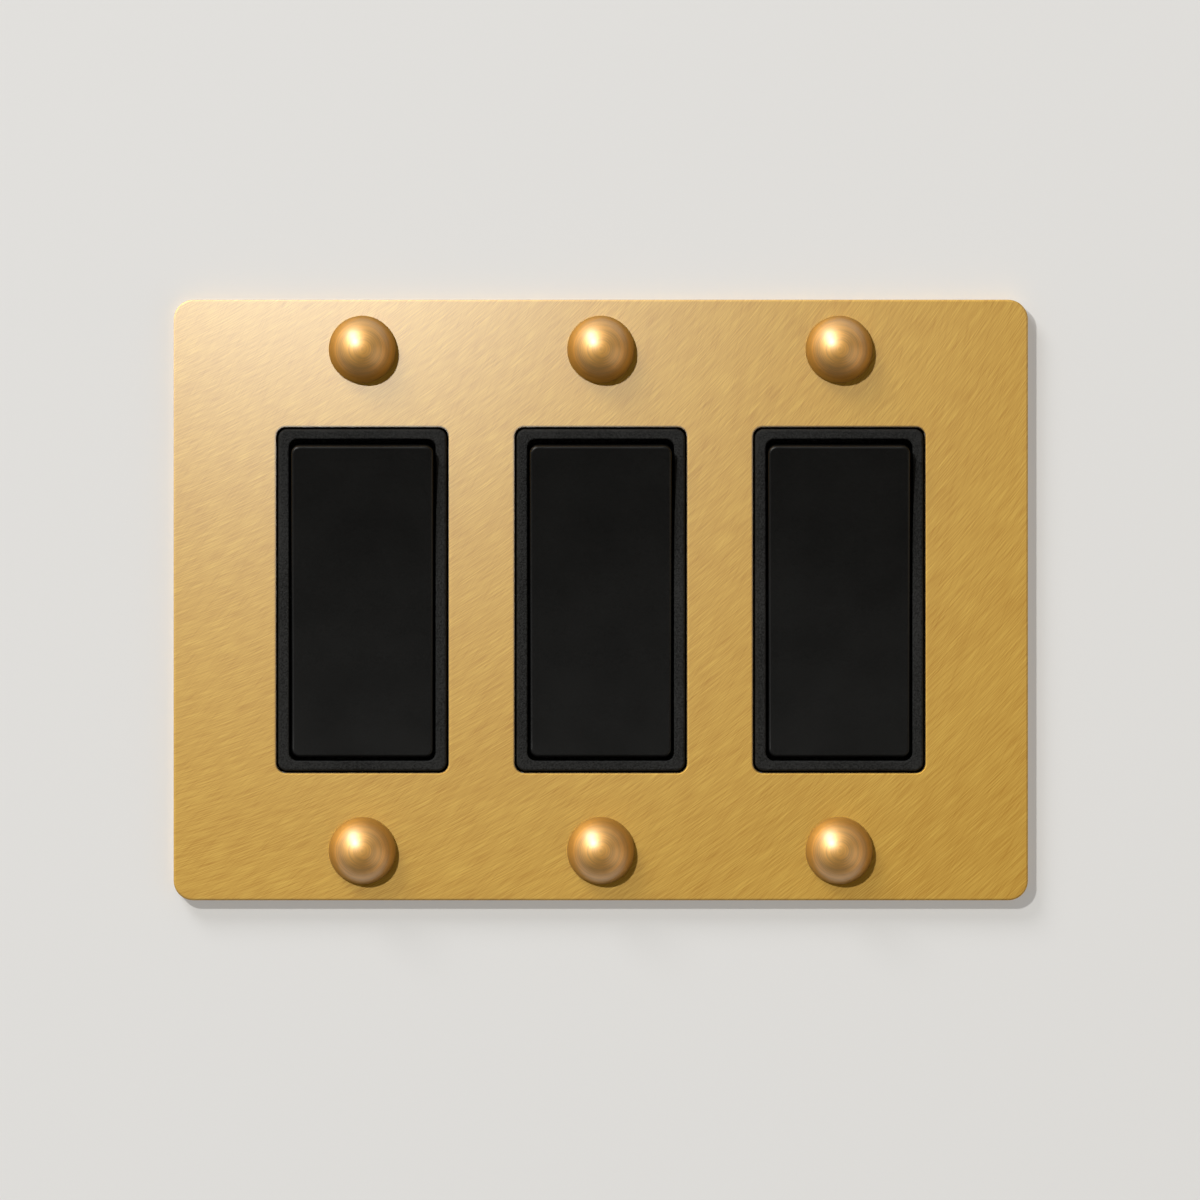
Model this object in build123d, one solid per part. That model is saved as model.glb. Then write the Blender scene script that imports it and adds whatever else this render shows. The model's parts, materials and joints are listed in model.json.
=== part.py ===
from build123d import *

import os
from math import asin, cos, radians, sin, sqrt, tan

# A three-gang wall switch, in millimetres. X runs to the right, Y into the wall and Z up.
# The wall's surface is y = 0, and the origin is the middle of the cover plate on that plane.

# Gangs, by how many pitches each stands from the middle one
GANGS = {"left": -1, "middle": 0, "right": 1}

# Cover plate: a shallow brass tray, its rim against the wall
WINDOW_WIDTH = 33.3
WINDOW_HEIGHT = 66.8
WINDOW_CORNER = 1.85
PLATE_WEB = 1.3
PLATE_RIM = 3.0
PLATE_SIDE = 12.46
PLATE_END = 2.2
PLATE_CORNER = 3.8
PLATE_EDGE = 0.35
POCKET_CORNER = 1.0

# Steps along Z from the end of a window: box screw, plate screw, end of the strap
BOX_SCREW_STEP = 8.27
PLATE_SCREW_STEP = 6.75
STRAP_END = 4.38

# Dome-head plate screws
DOME_RADIUS = 6.5
DOME_RIM = 0.5
DOME_RISE = 5.6
SCREW_RADIUS = 1.75
THREAD_GAP = 0.05
PLATE_HOLE_GAP = 0.35
SCREW_TIP = 0.5

# Strap: flat steel with plaster ears, slots for the box screws and an earth tab
STRAP_SHEET = 1.0
STRAP_GAP = 4.04
STRAP_SIDE = 4.45
STRAP_FRAME = 4.4
STRAP_TONGUE = 22.0
STRAP_CORNER = 2.0
EAR_SPAN = 38.0
EAR_NECK = 3.2
EAR_NOTCH = 1.2
COLLAR_RADIUS = 2.8
COLLAR_DEPTH = 1.2
SLOT_GAP = 0.25
SLOT_PLAY = 2.4

# Box screws and their fibre retainers
BOX_HEAD_RADIUS = 3.4
BOX_HEAD_HEIGHT = 1.1
BOX_HEAD_GAP = 0.2
BOX_SCREW_LENGTH = 25.4
NECK_RADIUS = 1.4
NECK_GAP = 0.1
DRIVER_SLOT = 1.0
DRIVER_DEPTH = 0.6
RETAINER_SIZE = 7.6
RETAINER_SHEET = 0.6

# Bezel: a moulded frame in the window, its skirt plugged into the housing
BEZEL_GAP = 0.4
BEZEL_PROUD = 0.4
BEZEL_SIDE = 2.1
BEZEL_END = 1.95
BEZEL_CORNER = 1.7
BEZEL_EDGE = 0.5
OPENING_CORNER = 1.6
OPENING_EDGE = 0.3
SKIRT_GAP = 0.3
SNAP_WIDTH = 10.0
SNAP_HEIGHT = 0.7
SNAP_DEPTH = 1.0
SNAP_INSET = 0.8
SNAP_GAP = 0.15

# Rocker: a hollow paddle with a dished face, trunnions and a post behind it
ROCKER_SIDE_GAP = 0.5
ROCKER_END_GAP = 1.0
ROCKER_PROUD = 0.24
ROCKER_DISH = 410.0
ROCKER_CORNER = 1.5
ROCKER_EDGE = 0.45
ROCKER_DRAFT = 1.5
ROCKER_WALL = 1.6
ROCKER_SKIN = 2.6
ROCKER_RIB = 1.4
ROCKER_TILT = 2.93
STOP_GAP = 0.3
PIVOT_Y = 0.6
TRUNNION_RADIUS = 1.6
TRUNNION_WALL = 1.3
TRUNNION_END_GAP = 0.4
PIVOT_GAP = 0.05
POST_RADIUS = 3.4

# Plunger and spring in the post, pressing on the contact blade
TIP_REACH = 20.0
TIP_GAP = 0.1
NOSE_LENGTH = 4.2
NOSE_RADIUS = 1.4
PLUNGER_RADIUS = 2.2
PLUNGER_HEAD = 4.5
PLUNGER_SINK = 0.8
PLUNGER_GAP = 0.05
SPRING_LENGTH = 7.5
SPRING_WIRE = 0.44
SPRING_TURNS = 4.5

# Contact blade, a see-saw on the common terminal's saddle
BLADE_SHEET = 0.8
BLADE_WIDTH = 5.0
BLADE_END = 2.6
BLADE_TILT = 8.0
BEAD_RADIUS = 1.0
BEAD_LENGTH = 6.6
CONTACT_Z = 10.5
CONTACT_RADIUS = 1.8
CONTACT_BUTTON = 0.9
CONTACT_BRAZE = 0.02
CONTACT_CROWN = 4.0
CONTACT_GAP = 0.05
FIXED_RADIUS = 2.1
FIXED_HEIGHT = 0.8

# Terminals: brass strips bent up into the side recesses of the housing
STRIP_SHEET = 0.8
STRIP_WIDTH = 7.0
STRIP_REACH = 3.4
STRIP_GAP = 0.2
SADDLE_SHEET = 0.8
SADDLE_HALF = 2.6
SADDLE_GAP = 0.1
TERMINAL_RADIUS = 2.0
TERMINAL_HEAD = 4.0
TERMINAL_HEIGHT = 2.2
TERMINAL_LENGTH = 3.2
TERMINAL_EDGE = 4.6

# Housing: a moulded body with a mechanism chamber and side recesses
HOUSING_WALL = 2.0
HOUSING_CORNER = 2.0
HOUSING_EDGE = 1.2
HOUSING_DRAFT = 1.0
FLANGE_LIP = 1.0
FLANGE_SHEET = 2.5
CHAMBER_GAP = 2.6
RECESS_DEPTH = 4.35
RECESS_GAP = 1.0
SHANK_GAP = 0.4
WIRE_HOLE_RADIUS = 1.25
WIRE_HOLE_DEPTH = 7.5
WIRE_HOLE_INSET = 4.2
WIRE_HOLE_WEB = 0.45
GAUGE_LENGTH = 16.0
GAUGE_WIDTH = 1.6
GAUGE_DEPTH = 0.6

# Rivets through strap and flange, and the earth screw on its tab
RIVET_RADIUS = 1.2
RIVET_HEAD = 1.9
RIVET_HEIGHT = 0.7
RIVET_Z = 27.0
RIVET_GAP = 0.05
EARTH_Z = -23.0
EARTH_Y = 8.6
EARTH_TAB = 10.0
EARTH_EDGE = 4.6
EARTH_HEAD = 3.8
EARTH_HEIGHT = 1.6
EARTH_LENGTH = 4.4
EARTH_GAP = 0.4

# Places along Z
BOX_SCREW_Z = WINDOW_HEIGHT / 2 + BOX_SCREW_STEP
PLATE_SCREW_Z = BOX_SCREW_Z + PLATE_SCREW_STEP
STRAP_LENGTH = 2 * (PLATE_SCREW_Z + STRAP_END)

# Widths and heights, from the window outward
BEZEL_WIDTH = WINDOW_WIDTH - 2 * BEZEL_GAP
BEZEL_HEIGHT = WINDOW_HEIGHT - 2 * BEZEL_GAP
OPENING_WIDTH = BEZEL_WIDTH - 2 * BEZEL_SIDE
OPENING_HEIGHT = BEZEL_HEIGHT - 2 * BEZEL_END
ROCKER_WIDTH = OPENING_WIDTH - 2 * ROCKER_SIDE_GAP
ROCKER_HEIGHT = OPENING_HEIGHT - 2 * ROCKER_END_GAP
TRAY_WIDTH = BEZEL_WIDTH + 2 * SKIRT_GAP
TRAY_HEIGHT = BEZEL_HEIGHT + 2 * SKIRT_GAP
STRAP_WIDTH = TRAY_WIDTH + 2 * STRAP_SIDE
GANG_PITCH = STRAP_WIDTH + STRAP_GAP
PLATE_WIDTH = 2 * GANG_PITCH + STRAP_WIDTH + 2 * (PLATE_SIDE + PLATE_RIM)
PLATE_HEIGHT = STRAP_LENGTH + 2 * (PLATE_END + PLATE_RIM)
HOUSING_WIDTH = TRAY_WIDTH + 2 * HOUSING_WALL
HOUSING_HEIGHT = TRAY_HEIGHT + 2 * HOUSING_WALL
FLANGE_WIDTH = STRAP_WIDTH - FLANGE_LIP
FLANGE_HEIGHT = HOUSING_HEIGHT + FLANGE_LIP
RIVET_X = (TRAY_WIDTH + STRAP_WIDTH) / 4
RECESS_X = HOUSING_WIDTH / 2 - RECESS_DEPTH
CHAMBER_HALF = POST_RADIUS + CHAMBER_GAP

# Planes along Y, from the front backward
PLATE_BACK_Y = -(STRAP_SHEET + BOX_HEAD_HEIGHT + BOX_HEAD_GAP)
PLATE_FRONT_Y = PLATE_BACK_Y - PLATE_WEB
BEZEL_FRONT_Y = PLATE_FRONT_Y - BEZEL_PROUD
FACE_Y = BEZEL_FRONT_Y - ROCKER_PROUD
ROCKER_FRONT_Y = FACE_Y - ROCKER_HEIGHT**2 / (8 * ROCKER_DISH)
ROCKER_BACK_Y = PIVOT_Y + TRUNNION_RADIUS + PIVOT_GAP
TRAY_Y = ROCKER_BACK_Y + ROCKER_HEIGHT / 2 * sin(radians(ROCKER_TILT)) + STOP_GAP
SKIRT_Y = TRAY_Y - SKIRT_GAP
POST_Y = PIVOT_Y + TIP_REACH - NOSE_LENGTH
HEAD_Y = POST_Y - PLUNGER_SINK - PLUNGER_HEAD
BORE_Y = HEAD_Y - SPRING_LENGTH
BLADE_Y = PIVOT_Y + TIP_REACH + TIP_GAP
BEAD_Y = BLADE_Y + BLADE_SHEET
CROWN_Y = (CONTACT_BUTTON - CONTACT_CROWN) * cos(radians(BLADE_TILT)) + CONTACT_CROWN
FIXED_Y = BEAD_Y + CROWN_Y + CONTACT_Z * sin(radians(BLADE_TILT)) + CONTACT_GAP
STRIP_Y = FIXED_Y + FIXED_HEIGHT
FLOOR_Y = STRIP_Y + STRIP_SHEET
HOUSING_BACK_Y = FLOOR_Y + HOUSING_WALL
TERMINAL_Y = (TRAY_Y + FLOOR_Y) / 2

# Terminals of one gang: which side each comes out of the housing, and its middle along Z
TERMINALS = {
    "common_terminal": (-1, 0.0),
    "upper_traveller": (1, CONTACT_Z),
    "lower_traveller": (1, -CONTACT_Z),
}


def slab(outline, y_front, y_back):
    """An outline in X and Z, thickened from y_front to y_back."""
    return extrude(Plane.XZ.offset(-y_back) * outline, y_back - y_front)


def block(x_from, x_to, y_from, y_to, z_from, z_to):
    """A box between two corners."""
    middle = Pos((x_from + x_to) / 2, (y_from + y_to) / 2, (z_from + z_to) / 2)
    return middle * Box(abs(x_to - x_from), abs(y_to - y_from), abs(z_to - z_from))


def rod_x(radius, x_from, x_to, y, z):
    """A round bar along X."""
    return Pos((x_from + x_to) / 2, y, z) * Rot(Y=90) * Cylinder(radius, abs(x_to - x_from))


def rod_y(radius, y_from, y_to, x=0.0, z=0.0):
    """A round bar along Y."""
    return Pos(x, (y_from + y_to) / 2, z) * Rot(X=90) * Cylinder(radius, y_to - y_from)


def tilted(shape, pivot_y, angle):
    """A shape turned about an axis along X, its top forward for a positive angle."""
    return Pos(0, pivot_y, 0) * Rot(X=angle) * Pos(0, -pivot_y, 0) * shape


def domed_rod(radius, base, rim, apex):
    """A round bar along Y from base to rim, with a spherical dome from there to apex."""
    rise = abs(apex - rim)
    crown = (radius**2 + rise**2) / (2 * rise)
    forward = 1 if apex > rim else -1
    middle = asin(radius / crown) / 2
    halfway = (crown * sin(middle), apex - forward * crown * (1 - cos(middle)))
    outline = Polyline((0, apex), (0, base), (radius, base), (radius, rim))
    outline += ThreePointArc((radius, rim), halfway, (0, apex))
    return revolve(make_face(outline), Axis.Y)


def front_wires(shape):
    """The outer wire of the front face, and its inner wires."""
    face = shape.faces().sort_by(Axis.Y)[0]
    return face.outer_wire(), face.inner_wires()


def cover_plate():
    """Brass tray with a window for each gang, eased edges and holes for the dome screws."""
    plate = slab(RectangleRounded(PLATE_WIDTH, PLATE_HEIGHT, PLATE_CORNER), PLATE_FRONT_Y, 0)
    pocket = RectangleRounded(
        PLATE_WIDTH - 2 * PLATE_RIM, PLATE_HEIGHT - 2 * PLATE_RIM, POCKET_CORNER
    )
    plate -= slab(pocket, PLATE_BACK_Y, 0)
    window = RectangleRounded(WINDOW_WIDTH, WINDOW_HEIGHT, WINDOW_CORNER)
    for place in GANGS.values():
        plate -= Pos(place * GANG_PITCH, 0, 0) * slab(window, PLATE_FRONT_Y, PLATE_BACK_Y)
    outer, windows = front_wires(plate)
    edges = outer.edges()
    for wire in windows:
        edges += wire.edges()
    plate = fillet(edges, PLATE_EDGE)
    for place in GANGS.values():
        for z in (PLATE_SCREW_Z, -PLATE_SCREW_Z):
            hole = SCREW_RADIUS + PLATE_HOLE_GAP
            plate -= rod_y(hole, PLATE_FRONT_Y, PLATE_BACK_Y, place * GANG_PITCH, z)
    return plate


def dome_screw():
    """Plate screw with a plain domed head, its shank through plate and strap."""
    rim = PLATE_FRONT_Y - DOME_RIM
    head = domed_rod(DOME_RADIUS, PLATE_FRONT_Y, rim, rim - DOME_RISE)
    return head + rod_y(SCREW_RADIUS, PLATE_FRONT_Y, COLLAR_DEPTH + SCREW_TIP)


def box_screw():
    """Slotted screw that holds the strap to the wall box, its neck captive in the retainer."""
    front = -STRAP_SHEET - BOX_HEAD_HEIGHT
    head = rod_y(BOX_HEAD_RADIUS, front, -STRAP_SHEET)
    head -= block(
        -BOX_HEAD_RADIUS, BOX_HEAD_RADIUS, front, front + DRIVER_DEPTH, -DRIVER_SLOT / 2, DRIVER_SLOT / 2
    )
    neck_y = RETAINER_SHEET + NECK_GAP
    head += rod_y(NECK_RADIUS, -STRAP_SHEET, neck_y)
    return head + rod_y(SCREW_RADIUS, neck_y, BOX_SCREW_LENGTH - STRAP_SHEET)


def screw_retainer():
    """Square of fibre on the neck of a box screw, behind the strap."""
    washer = slab(Rectangle(RETAINER_SIZE, RETAINER_SIZE), 0, RETAINER_SHEET)
    return washer - rod_y(NECK_RADIUS + THREAD_GAP, 0, RETAINER_SHEET)


def strap_outline():
    """Flat pattern of the strap: frame, tongues, plaster ears and their holes."""
    outline = Rectangle(STRAP_WIDTH, TRAY_HEIGHT + 2 * STRAP_FRAME)
    outline += RectangleRounded(STRAP_TONGUE, STRAP_LENGTH, STRAP_CORNER)
    notch = Rectangle(EAR_NOTCH, 2 * STRAP_END) - Rectangle(EAR_NOTCH, EAR_NECK)
    for end in (1, -1):
        outline += Pos(0, end * PLATE_SCREW_Z) * SlotOverall(EAR_SPAN, 2 * STRAP_END)
    for end in (1, -1):
        for side in (1, -1):
            outline -= Pos(side * (STRAP_TONGUE + EAR_NOTCH) / 2, end * PLATE_SCREW_Z) * notch
        slot = 2 * (SCREW_RADIUS + SLOT_GAP)
        outline -= Pos(0, end * BOX_SCREW_Z) * SlotOverall(slot + SLOT_PLAY, slot)
    return outline - RectangleRounded(TRAY_WIDTH, TRAY_HEIGHT, BEZEL_CORNER)


def strap():
    """Steel strap with threaded collars, rivet holes and a bent-back earth tab."""
    body = slab(strap_outline(), -STRAP_SHEET, 0)
    edge = -STRAP_WIDTH / 2
    tab = block(
        edge, edge + STRAP_SHEET, -STRAP_SHEET, EARTH_Y + EARTH_EDGE,
        EARTH_Z - EARTH_TAB / 2, EARTH_Z + EARTH_TAB / 2,
    )
    tab = fillet(tab.edges().filter_by(Axis.X).group_by(Axis.Y)[-1], STRAP_CORNER)
    body += tab
    body -= rod_x(TERMINAL_RADIUS + THREAD_GAP, edge, edge + STRAP_SHEET, EARTH_Y, EARTH_Z)
    for end in (1, -1):
        body += rod_y(COLLAR_RADIUS, -STRAP_SHEET, COLLAR_DEPTH, 0, end * PLATE_SCREW_Z)
        body -= rod_y(SCREW_RADIUS + THREAD_GAP, -STRAP_SHEET, COLLAR_DEPTH, 0, end * PLATE_SCREW_Z)
        body -= rod_y(RIVET_RADIUS + RIVET_GAP, -STRAP_SHEET, 0, -end * RIVET_X, end * RIVET_Z)
    return body


def strap_rivet():
    """Rivet through strap and housing flange, headed at both ends."""
    shank = rod_y(RIVET_RADIUS, -STRAP_SHEET, FLANGE_SHEET)
    front = rod_y(RIVET_HEAD, -STRAP_SHEET - RIVET_HEIGHT, -STRAP_SHEET)
    return shank + front + rod_y(RIVET_HEAD, FLANGE_SHEET, FLANGE_SHEET + RIVET_HEIGHT)


def bezel():
    """Moulded frame with rounded lips, pivot bores in its sides and snap lugs on its ends."""
    ring = slab(RectangleRounded(BEZEL_WIDTH, BEZEL_HEIGHT, BEZEL_CORNER), BEZEL_FRONT_Y, SKIRT_Y)
    opening = RectangleRounded(OPENING_WIDTH, OPENING_HEIGHT, OPENING_CORNER)
    ring -= slab(opening, BEZEL_FRONT_Y, SKIRT_Y)
    ring = fillet(front_wires(ring)[0].edges(), BEZEL_EDGE)
    ring = fillet(front_wires(ring)[1][0].edges(), OPENING_EDGE)
    for end in (1, -1):
        root = end * (BEZEL_HEIGHT - BEZEL_END) / 2
        ring += block(
            -SNAP_WIDTH / 2, SNAP_WIDTH / 2, SKIRT_Y - SNAP_INSET - SNAP_DEPTH, SKIRT_Y - SNAP_INSET,
            root, end * (BEZEL_HEIGHT / 2 + SNAP_HEIGHT),
        )
    return ring - rod_x(TRUNNION_RADIUS + PIVOT_GAP, -BEZEL_WIDTH, BEZEL_WIDTH, PIVOT_Y, 0)


def rocker():
    """Dished paddle, hollow behind, with trunnions, cross ribs and a bored post."""
    toward_wall = Plane((0, ROCKER_FRONT_Y, 0), x_dir=(1, 0, 0), z_dir=(0, 1, 0))
    front = RectangleRounded(ROCKER_WIDTH, ROCKER_HEIGHT, ROCKER_CORNER)
    body = extrude(toward_wall * front, ROCKER_BACK_Y - ROCKER_FRONT_Y, taper=-ROCKER_DRAFT)
    body -= rod_x(ROCKER_DISH, -ROCKER_WIDTH, ROCKER_WIDTH, FACE_Y - ROCKER_DISH, 0)
    body = fillet(front_wires(body)[0].edges(), ROCKER_EDGE)
    inner_width = ROCKER_WIDTH - 2 * ROCKER_WALL
    inner_height = ROCKER_HEIGHT - 2 * ROCKER_WALL
    floor = FACE_Y + ROCKER_SKIN
    body -= slab(Rectangle(inner_width, inner_height), floor, ROCKER_BACK_Y)
    body += block(-inner_width / 2, inner_width / 2, floor, ROCKER_BACK_Y, -ROCKER_RIB / 2, ROCKER_RIB / 2)
    body += block(-ROCKER_RIB / 2, ROCKER_RIB / 2, floor, PIVOT_Y, -inner_height / 2, inner_height / 2)
    body += rod_y(POST_RADIUS, floor, POST_Y)
    trunnion_end = BEZEL_WIDTH / 2 - TRUNNION_END_GAP
    for side in (1, -1):
        cheek = side * inner_width / 2
        body += rod_x(TRUNNION_RADIUS + TRUNNION_WALL, cheek, side * ROCKER_WIDTH / 2, PIVOT_Y, 0)
        body += rod_x(TRUNNION_RADIUS, cheek, side * trunnion_end, PIVOT_Y, 0)
    return body - rod_y(PLUNGER_RADIUS + PLUNGER_GAP, BORE_Y, POST_Y)


def plunger():
    """Nylon plunger, guided in the post, with a round nose."""
    nose_y = PIVOT_Y + TIP_REACH - NOSE_RADIUS
    body = rod_y(PLUNGER_RADIUS, HEAD_Y, HEAD_Y + PLUNGER_HEAD)
    body += rod_y(NOSE_RADIUS, HEAD_Y + PLUNGER_HEAD, nose_y)
    return body + Pos(0, nose_y, 0) * Sphere(NOSE_RADIUS)


def plunger_spring():
    """Coil spring between the bottom of the post's bore and the plunger."""
    coil = SPRING_LENGTH - SPRING_WIRE
    radius = PLUNGER_RADIUS - SPRING_WIRE / 2 - PLUNGER_GAP
    start = (0, BORE_Y + SPRING_WIRE / 2, 0)
    path = Helix(coil / SPRING_TURNS, coil, radius, center=start, direction=(0, 1, 0))
    wire = Plane(path @ 0, z_dir=path % 0) * Rectangle(SPRING_WIRE, SPRING_WIRE)
    return sweep(wire, path, is_frenet=True)


def contact_blade():
    """Copper see-saw with a bead across its back that sits in the saddle."""
    half = CONTACT_Z + BLADE_END
    blade = slab(RectangleRounded(BLADE_WIDTH, 2 * half, BLADE_WIDTH / 4), BLADE_Y, BEAD_Y)
    bead = rod_x(BEAD_RADIUS, -BEAD_LENGTH / 2, BEAD_LENGTH / 2, BEAD_Y, 0)
    return blade + (bead - block(-BEAD_LENGTH, BEAD_LENGTH, BLADE_Y - BEAD_RADIUS, BLADE_Y, -half, half))


def moving_contact(z):
    """Silver button with a crowned face, on the back of the blade."""
    apex = BEAD_Y + CONTACT_BUTTON
    rim = apex - CONTACT_CROWN + sqrt(CONTACT_CROWN**2 - CONTACT_RADIUS**2)
    return Pos(0, 0, z) * domed_rod(CONTACT_RADIUS, BEAD_Y + CONTACT_BRAZE, rim, apex)


def fixed_contact(z):
    """Flat silver button on a traveller terminal."""
    return rod_y(FIXED_RADIUS, FIXED_Y, STRIP_Y, 0, z)


def terminal(name):
    """Brass strip on the housing floor, bent up into the recess under its screw."""
    side, z = TERMINALS[name]
    low, high = z - STRIP_WIDTH / 2, z + STRIP_WIDTH / 2
    bend = side * (RECESS_X + STRIP_SHEET)
    strip = block(-side * STRIP_REACH, bend, STRIP_Y, FLOOR_Y, low, high)
    strip += block(side * RECESS_X, bend, TERMINAL_Y - TERMINAL_EDGE, FLOOR_Y, low, high)
    return strip - rod_x(TERMINAL_RADIUS + THREAD_GAP, side * RECESS_X, bend, TERMINAL_Y, z)


def common_terminal():
    """The common strip with two notched cheeks that carry the blade's bead."""
    body = terminal("common_terminal")
    front = BEAD_Y + SADDLE_HALF * tan(radians(BLADE_TILT)) + SADDLE_GAP
    outer = BEAD_LENGTH / 2
    for side in (1, -1):
        inner = side * (outer - SADDLE_SHEET)
        body += block(inner, side * outer, front, STRIP_Y, -SADDLE_HALF, SADDLE_HALF)
    return body - rod_x(BEAD_RADIUS + PIVOT_GAP, -BEAD_LENGTH, BEAD_LENGTH, BEAD_Y, 0)


def side_screw(side, seat_x, y, z, head_radius, head_height, length):
    """Slotted screw along X, its head outward of a seat."""
    face = side * (seat_x + head_height)
    head = rod_x(head_radius, side * seat_x, face, y, z)
    head -= block(
        face, face - side * DRIVER_DEPTH, y - head_radius, y + head_radius,
        z - DRIVER_SLOT / 2, z + DRIVER_SLOT / 2,
    )
    return head + rod_x(TERMINAL_RADIUS, side * seat_x, side * (seat_x - length), y, z)


def terminal_screw(name):
    """Binding screw of a terminal."""
    side, z = TERMINALS[name]
    seat = RECESS_X + STRIP_SHEET
    return side_screw(side, seat, TERMINAL_Y, z, TERMINAL_HEAD, TERMINAL_HEIGHT, TERMINAL_LENGTH)


def earth_screw():
    """Earth screw in the strap's tab."""
    return side_screw(-1, STRAP_WIDTH / 2, EARTH_Y, EARTH_Z, EARTH_HEAD, EARTH_HEIGHT, EARTH_LENGTH)


def housing():
    """Drafted body behind the strap, open at the front, with a recess for each terminal screw."""
    into_wall = Plane((0, 0, 0), x_dir=(1, 0, 0), z_dir=(0, 1, 0))
    outline = RectangleRounded(HOUSING_WIDTH, HOUSING_HEIGHT, HOUSING_CORNER)
    body = extrude(into_wall * outline, HOUSING_BACK_Y, taper=HOUSING_DRAFT)
    body = fillet(body.faces().sort_by(Axis.Y)[-1].edges(), HOUSING_EDGE)
    body += slab(RectangleRounded(FLANGE_WIDTH, FLANGE_HEIGHT, HOUSING_CORNER), 0, FLANGE_SHEET)
    body -= slab(RectangleRounded(TRAY_WIDTH, TRAY_HEIGHT, BEZEL_CORNER), 0, TRAY_Y)
    chamber = CONTACT_Z + BLADE_END + TERMINAL_EDGE
    body -= slab(Rectangle(2 * CHAMBER_HALF, 2 * chamber), TRAY_Y, FLOOR_Y)
    for end in (1, -1):
        body -= block(
            -SNAP_WIDTH / 2 - SNAP_GAP, SNAP_WIDTH / 2 + SNAP_GAP,
            SKIRT_Y - SNAP_INSET - SNAP_DEPTH - SNAP_GAP, TRAY_Y,
            end * BEZEL_HEIGHT / 2, end * (BEZEL_HEIGHT / 2 + SNAP_HEIGHT + SNAP_GAP),
        )
        body -= rod_y(RIVET_RADIUS + RIVET_GAP, 0, FLANGE_SHEET, -end * RIVET_X, end * RIVET_Z)
        body -= rod_y(RIVET_HEAD + RIVET_GAP, FLANGE_SHEET, FLANGE_SHEET + RIVET_HEIGHT + RIVET_GAP,
                      -end * RIVET_X, end * RIVET_Z)
    for side, z in TERMINALS.values():
        half = TERMINAL_HEAD + RECESS_GAP
        front = TERMINAL_Y - TERMINAL_EDGE - RECESS_GAP
        body -= block(side * RECESS_X, side * HOUSING_WIDTH, front, HOUSING_BACK_Y, z - half, z + half)
        slot = STRIP_WIDTH / 2 + STRIP_GAP
        body -= block(0, side * RECESS_X, STRIP_Y - STRIP_GAP, FLOOR_Y, z - slot, z + slot)
        point = side * (RECESS_X + STRIP_SHEET - TERMINAL_LENGTH - SHANK_GAP)
        body -= rod_x(TERMINAL_RADIUS + SHANK_GAP, point, side * RECESS_X, TERMINAL_Y, z)
    return body - earth_clearance() - back_wiring()


def back_wiring():
    """Blind wire holes beside each terminal, and the gauge for stripping a wire."""
    gauge = Rectangle(GAUGE_WIDTH, GAUGE_LENGTH)
    cuts = slab(gauge, HOUSING_BACK_Y - GAUGE_DEPTH, HOUSING_BACK_Y)
    bottom = HOUSING_BACK_Y - WIRE_HOLE_DEPTH
    step = STRIP_WIDTH / 2 + STRIP_GAP + WIRE_HOLE_WEB + WIRE_HOLE_RADIUS
    for side, z in TERMINALS.values():
        x = side * (RECESS_X - WIRE_HOLE_INSET)
        for end in (1, -1):
            cuts += rod_y(WIRE_HOLE_RADIUS, bottom, HOUSING_BACK_Y, x, z + end * step)
    return cuts


def earth_clearance():
    """Room in the housing for the earth tab and the point of its screw."""
    tab = -STRAP_WIDTH / 2 + STRAP_SHEET + EARTH_GAP
    point = -STRAP_WIDTH / 2 + EARTH_LENGTH + EARTH_GAP
    half = EARTH_TAB / 2 + EARTH_GAP
    room = block(-STRAP_WIDTH, tab, 0, EARTH_Y + EARTH_EDGE + EARTH_GAP, EARTH_Z - half, EARTH_Z + half)
    return room + rod_x(TERMINAL_RADIUS + EARTH_GAP, -STRAP_WIDTH, point, EARTH_Y, EARTH_Z)


def gang_pieces():
    """Every piece of one gang about its own middle, with the rocker's bottom pressed in."""
    pieces = {
        "bezel": bezel(),
        "strap": strap(),
        "housing": housing(),
        "common_terminal": common_terminal(),
        "upper_traveller": terminal("upper_traveller"),
        "lower_traveller": terminal("lower_traveller"),
        "fixed_contacts": Compound([fixed_contact(CONTACT_Z), fixed_contact(-CONTACT_Z)]),
    }
    for name, shape in (("rocker", rocker()), ("plunger", plunger()), ("plunger_spring", plunger_spring())):
        pieces[name] = tilted(shape, PIVOT_Y, ROCKER_TILT)
    contacts = Compound([moving_contact(CONTACT_Z), moving_contact(-CONTACT_Z)])
    for name, shape in (("contact_blade", contact_blade()), ("moving_contacts", contacts)):
        pieces[name] = tilted(shape, BEAD_Y, -BLADE_TILT)
    return pieces


def ends(shape, z):
    """The same piece at both ends of a gang."""
    return [Pos(0, 0, z) * shape, Pos(0, 0, -z) * shape]


def fasteners():
    """Screws, retainers and rivets of one gang, as lists of separate solids by name."""
    return {
        "dome_screws": ends(dome_screw(), PLATE_SCREW_Z),
        "box_screws": ends(box_screw(), BOX_SCREW_Z),
        "screw_retainers": ends(screw_retainer(), BOX_SCREW_Z),
        "strap_rivets": [
            Pos(-RIVET_X, 0, RIVET_Z) * strap_rivet(),
            Pos(RIVET_X, 0, -RIVET_Z) * strap_rivet(),
        ],
        "common_screws": [terminal_screw("common_terminal")],
        "traveller_screws": [terminal_screw("upper_traveller"), terminal_screw("lower_traveller")],
        "earth_screws": [earth_screw()],
    }


def main():
    os.makedirs("parts", exist_ok=True)
    export_step(cover_plate(), "parts/cover_plate.step")
    pieces = gang_pieces()
    for gang, place in GANGS.items():
        for name, shape in pieces.items():
            export_step(Pos(place * GANG_PITCH, 0, 0) * shape, f"parts/{name}_{gang}.step")
    for name, solids in fasteners().items():
        group = [Pos(place * GANG_PITCH, 0, 0) * solid for place in GANGS.values() for solid in solids]
        export_step(Compound(group), f"parts/{name}.step")


main()
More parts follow.
